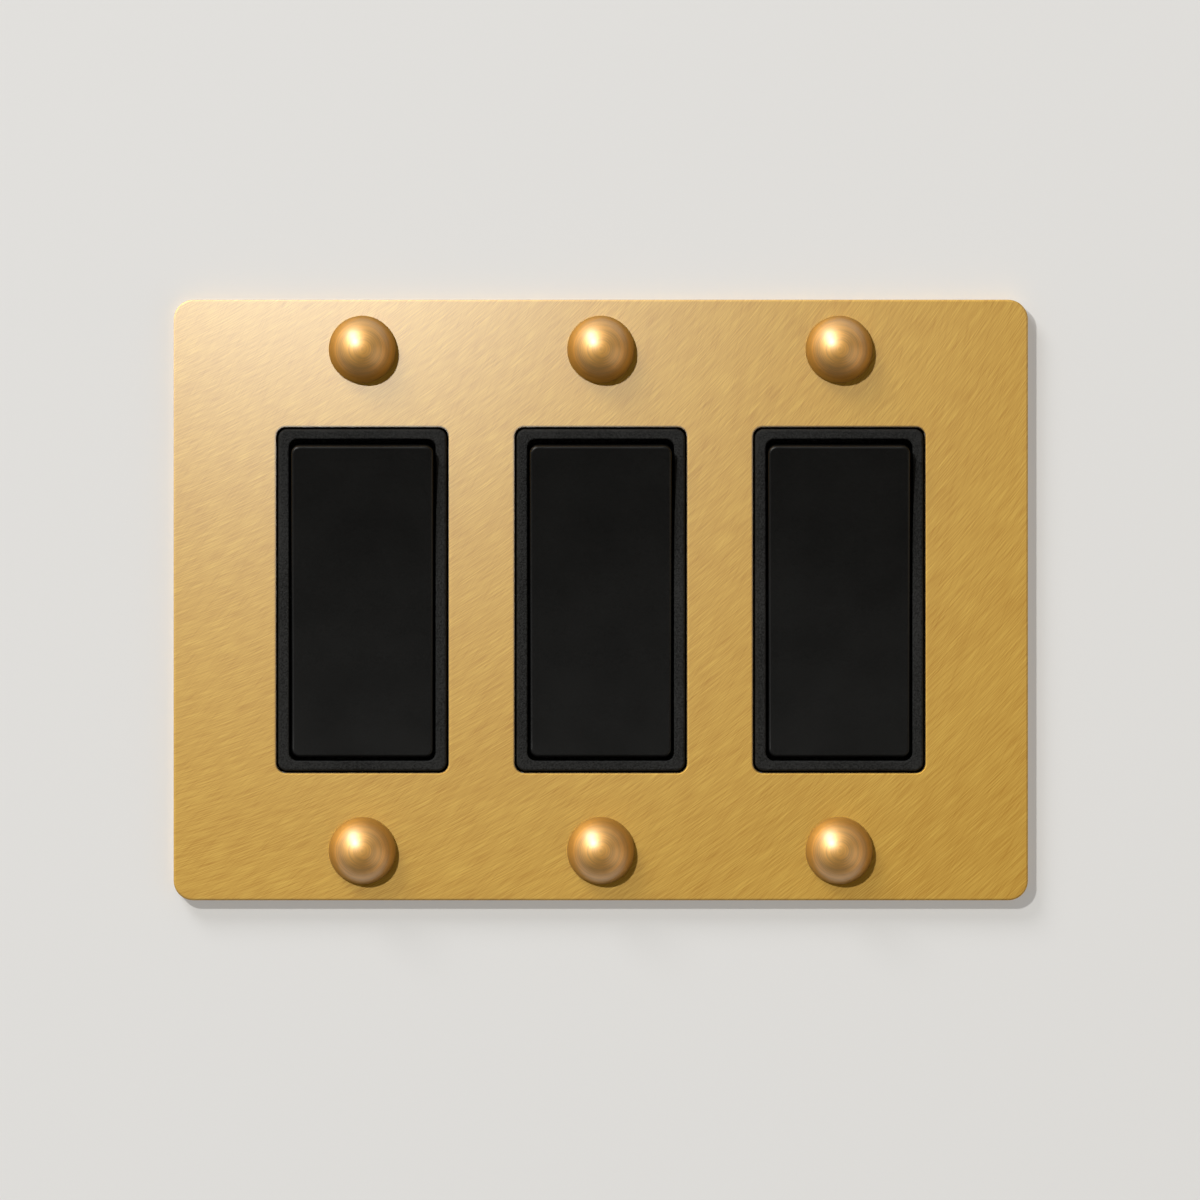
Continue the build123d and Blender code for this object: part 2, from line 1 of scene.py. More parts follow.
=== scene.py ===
import json
import math

import bmesh
import bpy
from bpy.props import FloatProperty, FloatVectorProperty, IntProperty, PointerProperty
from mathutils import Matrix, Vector


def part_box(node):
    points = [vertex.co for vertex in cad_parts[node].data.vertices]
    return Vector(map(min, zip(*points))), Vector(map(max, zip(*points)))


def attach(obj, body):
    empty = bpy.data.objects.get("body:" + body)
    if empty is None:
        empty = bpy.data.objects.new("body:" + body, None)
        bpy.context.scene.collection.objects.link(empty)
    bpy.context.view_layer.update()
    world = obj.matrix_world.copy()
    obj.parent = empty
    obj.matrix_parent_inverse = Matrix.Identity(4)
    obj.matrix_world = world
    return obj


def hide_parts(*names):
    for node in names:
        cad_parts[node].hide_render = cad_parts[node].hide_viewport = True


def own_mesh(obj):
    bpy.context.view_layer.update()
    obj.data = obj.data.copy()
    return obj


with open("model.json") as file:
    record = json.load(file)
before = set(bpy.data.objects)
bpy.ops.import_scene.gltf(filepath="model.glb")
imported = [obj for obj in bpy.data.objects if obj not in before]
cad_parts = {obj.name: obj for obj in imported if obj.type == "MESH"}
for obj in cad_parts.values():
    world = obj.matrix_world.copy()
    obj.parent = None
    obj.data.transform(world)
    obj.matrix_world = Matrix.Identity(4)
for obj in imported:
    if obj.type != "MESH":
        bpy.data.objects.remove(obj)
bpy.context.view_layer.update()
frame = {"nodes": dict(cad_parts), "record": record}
NODES = frame["nodes"]

bl_info = {
    "name": "Three-gang rocker switch",
    "version": (1, 0, 0),
    "blender": (4, 5, 0),
    "location": "3D View > Sidebar > Switch",
    "description": "Finishes, threads, wall and light for a brass wall switch with three rockers",
    "category": "Object",
}

GANGS = ("left", "middle", "right")

# Places and sizes taken from the CAD pieces, in metres
GANG_PITCH = (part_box("bezel_right")[0].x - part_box("bezel_left")[0].x) / 2
PLATE_LOW, PLATE_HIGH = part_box("cover_plate")
DOME_LOW, DOME_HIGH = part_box("dome_screws")
DOME_RADIUS = (DOME_HIGH.x - DOME_LOW.x) / 2 - GANG_PITCH
DOME_Z = DOME_HIGH.z - DOME_RADIUS
BOX_LOW, BOX_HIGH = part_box("box_screws")
BOX_HEAD_RADIUS = (BOX_HIGH.x - BOX_LOW.x) / 2 - GANG_PITCH
BOX_SCREW_Z = BOX_HIGH.z - BOX_HEAD_RADIUS

# Domes: straight rim, broken lower edge, flat at the tip, and how high the painted shade at the foot of the
# side reaches
DOME_RIM = 0.0005
DOME_EDGE = 0.00008
DOME_TIP = 0.00004
DOME_STEPS = 40
DOME_PAINTED_SHADE_HEIGHT = 0.0046

# Threads of the dome and box screws: the point keeps a share of the radius
THREAD_RADIUS = 0.00175
THREAD_SIDES = 24
THREAD_STEPS = 6
THREAD_POINT = 0.72

# Box screws: a slotted head on a plain neck
BOX_HEAD_HEIGHT = 0.0011
BOX_HEAD_EDGE = 0.00025
BOX_SLOT_DEPTH = 0.0006
BOX_SLOT_HALF = 0.0005
BOX_NECK_RADIUS = 0.0014
BOX_NECK_Y = 0.0007
BOX_HEAD_SIDES = 48
LAND_STEPS = 24

# Springs: turns in all, closed turns at each end, steps in a turn, and the section of the wire
SPRING_TURNS = 5.5
CLOSED_TURNS = 0.75
SPRING_STEPS = 36
WIRE_SIDES = 10
WIRE_SHARE = 0.48

# Edges sharper than this, in radians, stay sharp
SHARP_ANGLE = 0.6

# Far centres of the arcs in which the plate is brushed, in X and Z, and their usual radius
SWEEP_CENTRE = (-0.16, 0.21)
CROSS_CENTRE = (-0.24, 0.13)
HATCH_CENTRE = (0.30, 0.24)
SWEEP_RADIUS = 0.27

# Side to which the flanks of the brush marks lean: the lacquer on them mirrors the key lamp
BRUSH_LEAN = (-0.2018, -0.9600, 0.1940)

# Stage: wall, dark cloth, the room's brightest side in X and Z, and the camera's sensor
WALL_HALF = 1.6
OPENING_INSET_X = 0.006
OPENING_INSET_Z = 0.004
SCREEN_Y = -5.4
SCREEN_SIDES = 64
ROOM_SIDE = (-0.55, 0.83)
SENSOR_WIDTH = 36.0
VIEW_REACH = 20.0

# Lamps: name, place, point that it faces, width, colour, and the setting that holds its power
LAMPS = (
    ("key_lamp", (-2.25, -4.5, 2.25), (0.0, 0.0, 0.0), 0.20, (1.0, 0.995, 0.94), "key_power"),
    ("soft_lamp", (-2.13, -2.0, 3.15), (0.0, 0.0, 0.0), 1.8, (1.0, 1.0, 1.0), "soft_power"),
    ("fill_lamp", (2.2, -1.7, -0.9), (0.0, 0.0, 0.0), 3.0, (1.0, 0.84, 0.58), "fill_power"),
    ("back_lamp", (0.6, 1.1, 0.9), (0.0, 0.02, 0.0), 0.8, (1.0, 1.0, 1.0), "back_power"),
)


def colour(label, about, default):
    """A colour setting, in linear light."""
    return FloatVectorProperty(
        name=label, description=about, subtype="COLOR", size=3, min=0.0, max=1.0, default=default
    )


def length(label, about, default):
    """A length setting, in metres."""
    return FloatProperty(name=label, description=about, unit="LENGTH", subtype="DISTANCE", default=default)


def power(label, about, default):
    """A lamp's power, in watts."""
    return FloatProperty(name=label, description=about, unit="POWER", default=default)


def level(label, about, default):
    """A brightness, as a plain number."""
    return FloatProperty(name=label, description=about, min=0.0, default=default)


class SwitchFinishes(bpy.types.PropertyGroup):
    """Colours of the pieces."""

    plate_deep: colour("Plate, deep", "Brass of the plate in the brushed valleys", (0.507, 0.271, 0.031))
    plate_light: colour("Plate, light", "Brass of the plate on the crests", (0.727, 0.493, 0.100))
    dome_brass: colour("Domes", "Turned brass of the plate screws", (0.78, 0.41, 0.055))
    bezel_black: colour("Bezels", "Matte black of the frames", (0.0128, 0.0128, 0.0128))
    rocker_black: colour("Rockers", "Satin black of the paddles", (0.0018, 0.0018, 0.0018))
    housing_grey: colour("Housings", "Dark moulding compound", (0.03, 0.03, 0.032))
    zinc: colour("Zinc", "Bright zinc plate on the straps and rivets", (0.60, 0.61, 0.63))
    fibre: colour("Fibre", "Red fibre of the screw retainers", (0.36, 0.07, 0.035))
    terminal: colour("Terminals", "Half-hard brass strip", (0.74, 0.50, 0.18))
    copper: colour("Blades", "Copper alloy of the contact blades", (0.72, 0.34, 0.19))
    silver: colour("Contacts", "Silver alloy", (0.78, 0.77, 0.74))
    nylon: colour("Plungers", "Natural nylon", (0.70, 0.67, 0.58))
    spring: colour("Springs", "Drawn spring wire", (0.42, 0.42, 0.43))
    oxide: colour("Common screws", "Black oxide on steel", (0.05, 0.045, 0.04))
    green: colour("Earth screws", "Green dyed zinc", (0.04, 0.30, 0.09))


class SwitchSizes(bpy.types.PropertyGroup):
    """Sizes of the surface detail and of the threads."""

    brush_width: length("Brush mark width", "Width of the finest brushed lines", 0.00020)
    brush_run: length("Brush mark length", "Length of the finest brushed lines", 0.0058)
    ring_width: length("Turning mark width", "Spacing of the rings on the domes", 0.00016)
    grain: length("Spark grain", "Size of the bezels' texture", 0.00034)
    thread_pitch: length("Thread pitch", "Pitch of the screws", 0.000794)
    thread_depth: length("Thread depth", "Depth of the thread", 0.00040)
    spring_wire: length("Spring wire", "Diameter of the springs' wire", 0.00044)
    dome_sides: IntProperty(name="Dome sides", description="Flats round a dome", min=24, max=256, default=112)


class SwitchStage(bpy.types.PropertyGroup):
    """Wall, light and camera."""

    frame_width: length("Frame width", "Width of the picture at the plate's face", 0.23175)
    camera_distance: length("Camera distance", "From the plate's face to the camera", 4.0)
    camera_shift_x: length("Camera place", "How far right of the plate's middle the camera stands", -0.000145)
    wall: colour("Wall", "Pale paint", (0.460, 0.4565, 0.460))
    wall_glow: level("Wall lift", "Even share of the wall's paleness", 0.256)
    key_power: power("Key light", "Power of the small lamp above left", 195.0)
    soft_power: power("Soft light", "Power of the soft lamp above", 100.0)
    fill_power: power("Fill", "Power of the weak warm lamp at the right", 18.0)
    back_power: power("Back light", "Power of the lamp behind", 24.0)
    room_low: level("Room, low", "Room light from below right", 0.10)
    room_high: level("Room, high", "Room light from above left", 0.46)
    screen_radius: length("Dark screen", "Radius of the dark cloth behind the camera", 5.8)


class NodePage:
    """A node tree under work, with short calls for what the finishes share."""

    def __init__(self, tree):
        self.tree = tree

    def add(self, kind, **settings):
        """A new node."""
        node = self.tree.nodes.new(kind)
        for key, value in settings.items():
            setattr(node, key, value)
        return node

    def feed(self, socket, value):
        """Links an output to a socket, or sets the socket to a constant."""
        if isinstance(value, bpy.types.NodeSocket):
            self.tree.links.new(value, socket)
        else:
            socket.default_value = value

    def calc(self, operation, *values):
        """The result of a sum on outputs or numbers."""
        node = self.add("ShaderNodeMath", operation=operation)
        for socket, value in zip(node.inputs, values):
            self.feed(socket, value)
        return node.outputs[0]

    def weighted(self, *shares):
        """Values added up, each times its share."""
        (first, share), *others = shares
        total = self.calc("MULTIPLY", first, share)
        for value, share in others:
            total = self.calc("ADD", total, self.calc("MULTIPLY", value, share))
        return total

    def hypotenuse(self, first, second):
        """The long side over two legs at right angles."""
        squares = self.calc("ADD", self.calc("MULTIPLY", first, first), self.calc("MULTIPLY", second, second))
        return self.calc("SQRT", squares)

    def vector(self, x, y, z):
        """A vector from three outputs or numbers."""
        node = self.add("ShaderNodeCombineXYZ")
        for socket, value in zip(node.inputs, (x, y, z)):
            self.feed(socket, value)
        return node.outputs[0]

    def place(self):
        """The point on the piece, in metres, whole and as x, y and z."""
        where = self.add("ShaderNodeTexCoord").outputs["Object"]
        split = self.add("ShaderNodeSeparateXYZ")
        self.feed(split.inputs[0], where)
        return where, split.outputs

    def noise(self, vector, scale=1.0, detail=2.0, rough=0.5):
        """Soft noise from 0 to 1, about 0.5."""
        node = self.add("ShaderNodeTexNoise")
        self.feed(node.inputs["Vector"], vector)
        self.feed(node.inputs["Scale"], scale)
        self.feed(node.inputs["Detail"], detail)
        self.feed(node.inputs["Roughness"], rough)
        return node.outputs["Fac"]

    def remap(self, value, low, high, to_low, to_high):
        """A value carried from one range to another, and held at its ends."""
        node = self.add("ShaderNodeMapRange")
        for socket, entry in zip(node.inputs[:5], (value, low, high, to_low, to_high)):
            self.feed(socket, entry)
        return node.outputs[0]

    def blend(self, factor, first, second):
        """A colour between two, each an output or three numbers."""
        node = self.add("ShaderNodeMix", data_type="RGBA", blend_type="MIX")
        self.feed(node.inputs["Factor"], factor)
        for socket, entry in ((node.inputs["A"], first), (node.inputs["B"], second)):
            if not isinstance(entry, bpy.types.NodeSocket):
                entry = (*entry, 1.0)
            self.feed(socket, entry)
        return node.outputs["Result"]

    def bump(self, height, strength, distance):
        """A normal tilted by a height."""
        node = self.add("ShaderNodeBump")
        node.inputs["Strength"].default_value = strength
        node.inputs["Distance"].default_value = distance
        self.feed(node.inputs["Height"], height)
        return node.outputs["Normal"]


def finish(name):
    """A new material with a shader of its own, as the material, its node page and the shader."""
    material = bpy.data.materials.new(name)
    material.use_nodes = True
    page = NodePage(material.node_tree)
    shader = material.node_tree.nodes["Principled BSDF"]
    return material, page, shader


def scaled(shade, share):
    """A colour made darker or lighter."""
    return [min(1.0, part * share) for part in shade]


def brushed_brass(looks, sizes):
    """Lacquered brass, brushed by hand in shallow arcs from lower left to upper right."""
    material, page, shader = finish("brushed_brass")
    _, (x, _, z) = page.place()

    def arcs(centre):
        """Distance from a far centre, the way round it, and the two legs of the radius."""
        leg_x = page.calc("SUBTRACT", x, centre[0])
        leg_z = page.calc("SUBTRACT", z, centre[1])
        radius = page.hypotenuse(leg_x, leg_z)
        along = page.calc("MULTIPLY", page.calc("ARCTAN2", leg_z, leg_x), SWEEP_RADIUS)
        return radius, along, leg_x, leg_z

    def strokes(path, run, width, seed, detail=1.0):
        """Brush marks of a length and width along a set of arcs."""
        radius, along, _, _ = path
        point = page.vector(page.calc("DIVIDE", along, run), page.calc("DIVIDE", radius, width), seed)
        return page.noise(point, 1.0, detail, 0.6)

    run, width = sizes.brush_run, sizes.brush_width
    sweep, cross, hatch = arcs(SWEEP_CENTRE), arcs(CROSS_CENTRE), arcs(HATCH_CENTRE)
    fine = strokes(sweep, run, width, 0.0)
    crossing = strokes(cross, run * 0.8, width * 1.1, 7.0)
    hatching = strokes(hatch, run * 0.5, width * 1.1, 11.0)
    medium = strokes(sweep, run * 4, width * 6, 3.0)
    broad = strokes(sweep, 0.05, 0.014, 5.0)
    lines = page.weighted((fine, 0.78), (crossing, 0.16), (hatching, 0.06))
    tone = page.weighted((lines, 0.86), (medium, 0.04), (broad, 0.10))

    # A few marks stand out bright or dull
    bright = strokes(sweep, run * 1.3, width * 0.8, 15.0, 0.0)
    dull = strokes(cross, run * 1.1, width * 0.8, 19.0, 0.0)
    tone = page.calc("ADD", tone, page.remap(bright, 0.62, 0.70, 0.0, 0.11))
    tone = page.calc("SUBTRACT", tone, page.remap(dull, 0.62, 0.70, 0.0, 0.09))
    shade = page.blend(page.remap(tone, 0.26, 0.74, 0.0, 1.0), looks.plate_deep, looks.plate_light)
    page.feed(shader.inputs["Base Color"], shade)
    shader.inputs["Metallic"].default_value = 1.0
    page.feed(shader.inputs["Roughness"], page.remap(tone, 0.36, 0.64, 0.72, 0.67))

    # The grain runs round the arcs, and thin lacquer lies on the leaning flanks of the marks
    _, _, leg_x, leg_z = sweep
    shader.inputs["Anisotropic"].default_value = 0.1
    page.feed(shader.inputs["Tangent"], page.vector(page.calc("MULTIPLY", leg_z, -1.0), 0.0, leg_x))
    shader.inputs["Coat Weight"].default_value = 0.0335
    shader.inputs["Coat Roughness"].default_value = 0.125
    shader.inputs["Coat IOR"].default_value = 1.5
    page.feed(shader.inputs["Coat Normal"], page.vector(*BRUSH_LEAN))
    page.feed(shader.inputs["Normal"], page.bump(lines, 0.15, 0.00003))
    return material


def turned_brass(looks, sizes):
    """Brass turned on a lathe: rings about the axis of each screw, and painted shade darkening the foot of each
    dome.
    """
    material, page, shader = finish("turned_brass")
    _, (x, y, z) = page.place()
    side = page.calc("WRAP", x, GANG_PITCH / 2, -GANG_PITCH / 2)
    rise = page.calc("SUBTRACT", page.calc("ABSOLUTE", z), DOME_Z)
    radius = page.hypotenuse(side, rise)
    arc = page.calc("ADD", radius, y)
    turn = page.calc("DIVIDE", side, page.calc("ADD", radius, 0.0005))
    ring_count = page.calc("DIVIDE", arc, sizes.ring_width)
    rings = page.noise(page.vector(ring_count, page.calc("MULTIPLY", turn, 0.6), 0.0), 1.0, 3.0, 0.6)
    slow_count = page.calc("MULTIPLY", ring_count, 0.12)
    slow = page.noise(page.vector(slow_count, page.calc("MULTIPLY", turn, 0.8), 4.0))
    tone = page.weighted((rings, 0.6), (slow, 0.4))
    dark, light = scaled(looks.dome_brass, 0.72), scaled(looks.dome_brass, 1.25)
    shade = page.blend(page.remap(tone, 0.35, 0.65, 0.0, 1.0), dark, light)
    # Painted shade: the brass colour is darkened towards the foot of each dome, where it meets the plate
    painted_foot_shade = page.remap(y, PLATE_LOW.y, PLATE_LOW.y - DOME_PAINTED_SHADE_HEIGHT, 0.92, 0.0)
    page.feed(shader.inputs["Base Color"], page.blend(painted_foot_shade, shade, scaled(looks.dome_brass, 0.30)))
    shader.inputs["Metallic"].default_value = 1.0
    page.feed(shader.inputs["Roughness"], page.remap(tone, 0.3, 0.7, 0.66, 0.56))
    shader.inputs["Coat Weight"].default_value = 0.85
    shader.inputs["Coat Roughness"].default_value = 0.42
    shader.inputs["Coat IOR"].default_value = 2.5
    page.feed(shader.inputs["Normal"], page.bump(tone, 0.2, 0.00003))
    return material


def moulded(name, shade, grain, rough, spread, depth, gloss):
    """Thermoplastic from a textured tool: grain and faint flow."""
    material, page, shader = finish(name)
    where, _ = page.place()
    speck = page.noise(where, 1.0 / grain, 3.0, 0.65)
    flow = page.noise(where, 90.0)
    tone = page.weighted((speck, 0.8), (flow, 0.2))
    dark, light = scaled(shade, 0.4), scaled(shade, 1.7)
    page.feed(shader.inputs["Base Color"], page.blend(page.remap(tone, 0.40, 0.60, 0.0, 1.0), dark, light))
    page.feed(shader.inputs["Roughness"], page.remap(tone, 0.35, 0.65, rough - spread, rough + spread))
    shader.inputs["Specular IOR Level"].default_value = gloss
    page.feed(shader.inputs["Normal"], page.bump(speck, depth, 0.0002))
    return material


def drawn_metal(name, shade, run, width, rough):
    """Rolled or drawn metal: fine lines along Z and a soft stain."""
    material, page, shader = finish(name)
    where, (x, y, z) = page.place()
    point = page.vector(page.calc("DIVIDE", x, width), page.calc("DIVIDE", z, run), page.calc("DIVIDE", y, run))
    lines = page.noise(point, 1.0, 3.0, 0.6)
    stain = page.noise(where, 140.0, 4.0, 0.6)
    tone = page.weighted((lines, 0.5), (stain, 0.5))
    dark, light = scaled(shade, 0.72), scaled(shade, 1.16)
    page.feed(shader.inputs["Base Color"], page.blend(page.remap(tone, 0.35, 0.65, 0.0, 1.0), dark, light))
    shader.inputs["Metallic"].default_value = 1.0
    page.feed(shader.inputs["Roughness"], page.remap(tone, 0.35, 0.65, rough + 0.08, rough - 0.06))
    page.feed(shader.inputs["Normal"], page.bump(lines, 0.3, 0.00003))
    return material


def plated_screw(name, shade, metal, rough):
    """Plated or oxidised screw: worn bright in scattered patches."""
    material, page, shader = finish(name)
    where, _ = page.place()
    wear = page.noise(where, 900.0, 4.0, 0.65)
    speck = page.noise(where, 5200.0)
    bright = [min(1.0, part * 1.6 + 0.03) for part in shade]
    page.feed(shader.inputs["Base Color"], page.blend(page.remap(wear, 0.52, 0.72, 0.0, 1.0), shade, bright))
    shader.inputs["Metallic"].default_value = metal
    page.feed(shader.inputs["Roughness"], page.remap(wear, 0.35, 0.7, rough, rough - 0.12))
    page.feed(shader.inputs["Normal"], page.bump(speck, 0.15, 0.00004))
    return material


def fibre_board(looks):
    """Vulcanised fibre: mottled red sheet with hairs along X."""
    material, page, shader = finish("fibre")
    where, axes = page.place()
    mottle = page.noise(where, 1500.0, 5.0, 0.7)
    counts = (900.0, 9000.0, 5200.0)
    hairs = page.noise(page.vector(*(page.calc("MULTIPLY", axis, count) for axis, count in zip(axes, counts))))
    dark = scaled(looks.fibre, 0.6)
    shade = page.blend(page.remap(mottle, 0.35, 0.65, 0.0, 1.0), dark, looks.fibre)
    page.feed(shader.inputs["Base Color"], shade)
    page.feed(shader.inputs["Roughness"], page.remap(hairs, 0.3, 0.7, 0.6, 0.8))
    page.feed(shader.inputs["Normal"], page.bump(hairs, 0.3, 0.00004))
    return material


def nylon_moulding(looks):
    """Natural nylon, slightly clouded."""
    material, page, shader = finish("nylon")
    where, _ = page.place()
    cloud = page.noise(where, 420.0, 3.0)
    page.feed(shader.inputs["Base Color"], page.blend(cloud, scaled(looks.nylon, 0.88), looks.nylon))
    page.feed(shader.inputs["Roughness"], page.remap(cloud, 0.3, 0.7, 0.38, 0.5))
    shader.inputs["Subsurface Weight"].default_value = 0.15
    shader.inputs["Subsurface Radius"].default_value = (0.0008, 0.0007, 0.0005)
    return material


def dress(material, *names):
    """Puts a finish on CAD nodes."""
    for name in names:
        piece = NODES[name]
        if not piece.material_slots:
            piece.data.materials.append(material)
        for slot in piece.material_slots:
            slot.material = material


def each_gang(*kinds):
    """Names of the nodes of some kinds, in all gangs."""
    return [f"{kind}_{gang}" for kind in kinds for gang in GANGS]


def piece_from(name, mesh_data, body, material):
    """A new object from a bmesh, smooth but for its sharp edges, on a body."""
    mesh = bpy.data.meshes.new(name)
    mesh_data.to_mesh(mesh)
    mesh_data.free()
    mesh.shade_smooth()
    mesh.set_sharp_from_angle(angle=SHARP_ANGLE)
    mesh.materials.append(material)
    piece = bpy.data.objects.new(name, mesh)
    bpy.context.scene.collection.objects.link(piece)
    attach(piece, body)
    return piece


def ring(mesh, radius, y, sides):
    """A ring of points about the Y axis."""
    points = []
    for step in range(sides):
        turn = 2 * math.pi * step / sides
        points.append(mesh.verts.new((radius * math.cos(turn), y, radius * math.sin(turn))))
    return points


def bridge(mesh, first, second):
    """Faces between two rings of the same count."""
    count = len(first)
    for step in range(count):
        after = (step + 1) % count
        mesh.faces.new((first[step], first[after], second[after], second[step]))


def skin(mesh, rings):
    """Faces along a row of rings, and one across each end."""
    for first, second in zip(rings, rings[1:]):
        bridge(mesh, first, second)
    mesh.faces.new(rings[0])
    mesh.faces.new(rings[-1])


def turn_profile(mesh, profile, sides):
    """A lathe-turned solid about the Y axis from (radius, y) pairs, closed at both ends."""
    skin(mesh, [ring(mesh, radius, y, sides) for radius, y in profile])


def add_thread(mesh, start, end, pitch, depth):
    """A threaded shank along +Y with a tapered point, closed at both ends."""
    count = int((end - start) / pitch * THREAD_STEPS)
    rings = []
    for row in range(count + 1):
        y = start + (end - start) * row / count
        fade = min(1.0, (end - y) / pitch + 0.15)
        lead = min(1.0, (y - start) / (pitch / 2))
        points = []
        for step in range(THREAD_SIDES):
            phase = ((y - start) / pitch - step / THREAD_SIDES) % 1.0
            crest = 1.0 - abs(2 * phase - 1.0)
            cut = depth * (1.0 - min(1.0, 1.25 * crest)) * lead
            out = (THREAD_RADIUS - cut) * (THREAD_POINT + (1.0 - THREAD_POINT) * fade)
            turn = 2 * math.pi * step / THREAD_SIDES
            points.append(mesh.verts.new((out * math.cos(turn), y, out * math.sin(turn))))
        rings.append(points)
    skin(mesh, rings)


def add_land(mesh, side, front, back):
    """One half of a slotted head: a segment of a disc with a rounded rim, beside the slot."""
    start = math.asin(BOX_SLOT_HALF / BOX_HEAD_RADIUS)
    edge = BOX_HEAD_EDGE
    outlines = []
    for inset, y in ((0.0, back), (0.0, front + edge), (edge * 0.3, front + edge * 0.3), (edge, front)):
        reach = BOX_HEAD_RADIUS - inset
        points = []
        for step in range(LAND_STEPS + 1):
            turn = start + (math.pi - 2 * start) * step / LAND_STEPS
            z = side * max(BOX_SLOT_HALF, reach * math.sin(turn))
            points.append(mesh.verts.new((reach * math.cos(turn), y, z)))
        outlines.append(points)
    skin(mesh, outlines)


def points_in(geometry):
    """The points among the parts of a bmesh."""
    return [item for item in geometry if isinstance(item, bmesh.types.BMVert)]


def copies(mesh, places):
    """Repeats all that a bmesh holds at the places given."""
    source = mesh.verts[:] + mesh.edges[:] + mesh.faces[:]
    first, *others = places
    for place in others:
        made = bmesh.ops.duplicate(mesh, geom=source)["geom"]
        bmesh.ops.translate(mesh, verts=points_in(made), vec=place)
    bmesh.ops.translate(mesh, verts=points_in(source), vec=first)
    bmesh.ops.recalc_face_normals(mesh, faces=mesh.faces[:])


def screw_places(z):
    """Places of six screws, above and below the three gangs."""
    return [(step * GANG_PITCH, 0.0, end * z) for step in (-1, 0, 1) for end in (1, -1)]


def add_spring(gang, wire, material):
    """A round-wire spring with closed ends, in the rocker's post."""
    slide = f"plunger_{gang}_slide"
    joint = next(item for item in frame["record"]["behaviour"]["joints"] if item["name"] == slide)
    axis = -Vector(joint["axis"]).normalized()
    across = Vector((1.0, 0.0, 0.0))
    third = axis.cross(across)
    low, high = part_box(f"plunger_spring_{gang}")
    outer = (high.x - low.x) / 2
    span = (high.y - low.y - 2 * outer * abs(axis.z)) / axis.y
    base = (low + high) / 2 - axis * span / 2
    mesh = bmesh.new()
    rows = int(SPRING_TURNS * SPRING_STEPS)
    rings = []
    for row in range(rows + 1):
        turns = SPRING_TURNS * row / rows
        climb = min(1.0, max(0.0, (turns - CLOSED_TURNS) / (SPRING_TURNS - 2 * CLOSED_TURNS)))
        outward = across * math.cos(2 * math.pi * turns) + third * math.sin(2 * math.pi * turns)
        centre = base + axis * (wire / 2 + climb * (span - wire)) + outward * (outer - wire / 2)
        points = []
        for side in range(WIRE_SIDES):
            turn = 2 * math.pi * side / WIRE_SIDES
            reach = outward * math.cos(turn) + axis * math.sin(turn)
            points.append(mesh.verts.new(centre + reach * wire * WIRE_SHARE))
        rings.append(points)
    skin(mesh, rings)
    bmesh.ops.recalc_face_normals(mesh, faces=mesh.faces[:])
    spring = piece_from(f"coil_spring_{gang}", mesh, f"rocker_{gang}", material)
    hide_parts(f"plunger_spring_{gang}")
    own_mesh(spring)


class SWITCH_OT_plate(bpy.types.Operator):
    """Brush and lacquer the cover plate"""

    bl_idname = "switch.plate"
    bl_label = "Cover plate"

    def execute(self, context):
        scene = context.scene
        dress(brushed_brass(scene.switch_finishes, scene.switch_sizes), "cover_plate")
        return {"FINISHED"}


class SWITCH_OT_domes(bpy.types.Operator):
    """Turn the dome-headed plate screws"""

    bl_idname = "switch.domes"
    bl_label = "Dome screws"

    def execute(self, context):
        scene = context.scene
        sizes = scene.switch_sizes
        seat = PLATE_LOW.y
        apex = DOME_LOW.y
        rise = seat - DOME_RIM - apex
        crown = (DOME_RADIUS**2 + rise**2) / (2 * rise)
        sweep = math.acos((crown - rise) / crown)
        profile = [(DOME_RADIUS - DOME_EDGE, seat), (DOME_RADIUS, seat - DOME_EDGE)]
        for step in range(DOME_STEPS):
            angle = sweep * (1 - step / DOME_STEPS)
            profile.append((crown * math.sin(angle), apex + crown * (1 - math.cos(angle))))
        profile.append((DOME_TIP, apex))
        mesh = bmesh.new()
        turn_profile(mesh, profile, sizes.dome_sides)
        add_thread(mesh, seat, DOME_HIGH.y, sizes.thread_pitch, sizes.thread_depth)
        copies(mesh, screw_places(DOME_Z))
        material = turned_brass(scene.switch_finishes, sizes)
        domes = piece_from("turned_dome_screws", mesh, "wall_unit", material)
        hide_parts("dome_screws")
        return {"FINISHED"}


class SWITCH_OT_bezels(bpy.types.Operator):
    """Give the bezels their spark-eroded face"""

    bl_idname = "switch.bezels"
    bl_label = "Bezels"

    def execute(self, context):
        shade = context.scene.switch_finishes.bezel_black
        grain = context.scene.switch_sizes.grain
        plastic = moulded("bezel_plastic", shade, grain, rough=0.62, spread=0.12, depth=0.8, gloss=0.12)
        dress(plastic, *each_gang("bezel"))
        return {"FINISHED"}


class SWITCH_OT_rockers(bpy.types.Operator):
    """Give the rockers their satin face"""

    bl_idname = "switch.rockers"
    bl_label = "Rockers"

    def execute(self, context):
        shade = context.scene.switch_finishes.rocker_black
        grain = context.scene.switch_sizes.grain / 2
        plastic = moulded("rocker_plastic", shade, grain, rough=0.40, spread=0.05, depth=0.06, gloss=0.28)
        dress(plastic, *each_gang("rocker"))
        return {"FINISHED"}


class SWITCH_OT_straps(bpy.types.Operator):
    """Zinc-plate the straps and rivets"""

    bl_idname = "switch.straps"
    bl_label = "Straps and rivets"

    def execute(self, context):
        zinc = drawn_metal("zinc_steel", context.scene.switch_finishes.zinc, 0.012, 0.00022, 0.36)
        dress(zinc, "strap_rivets", *each_gang("strap"))
        return {"FINISHED"}


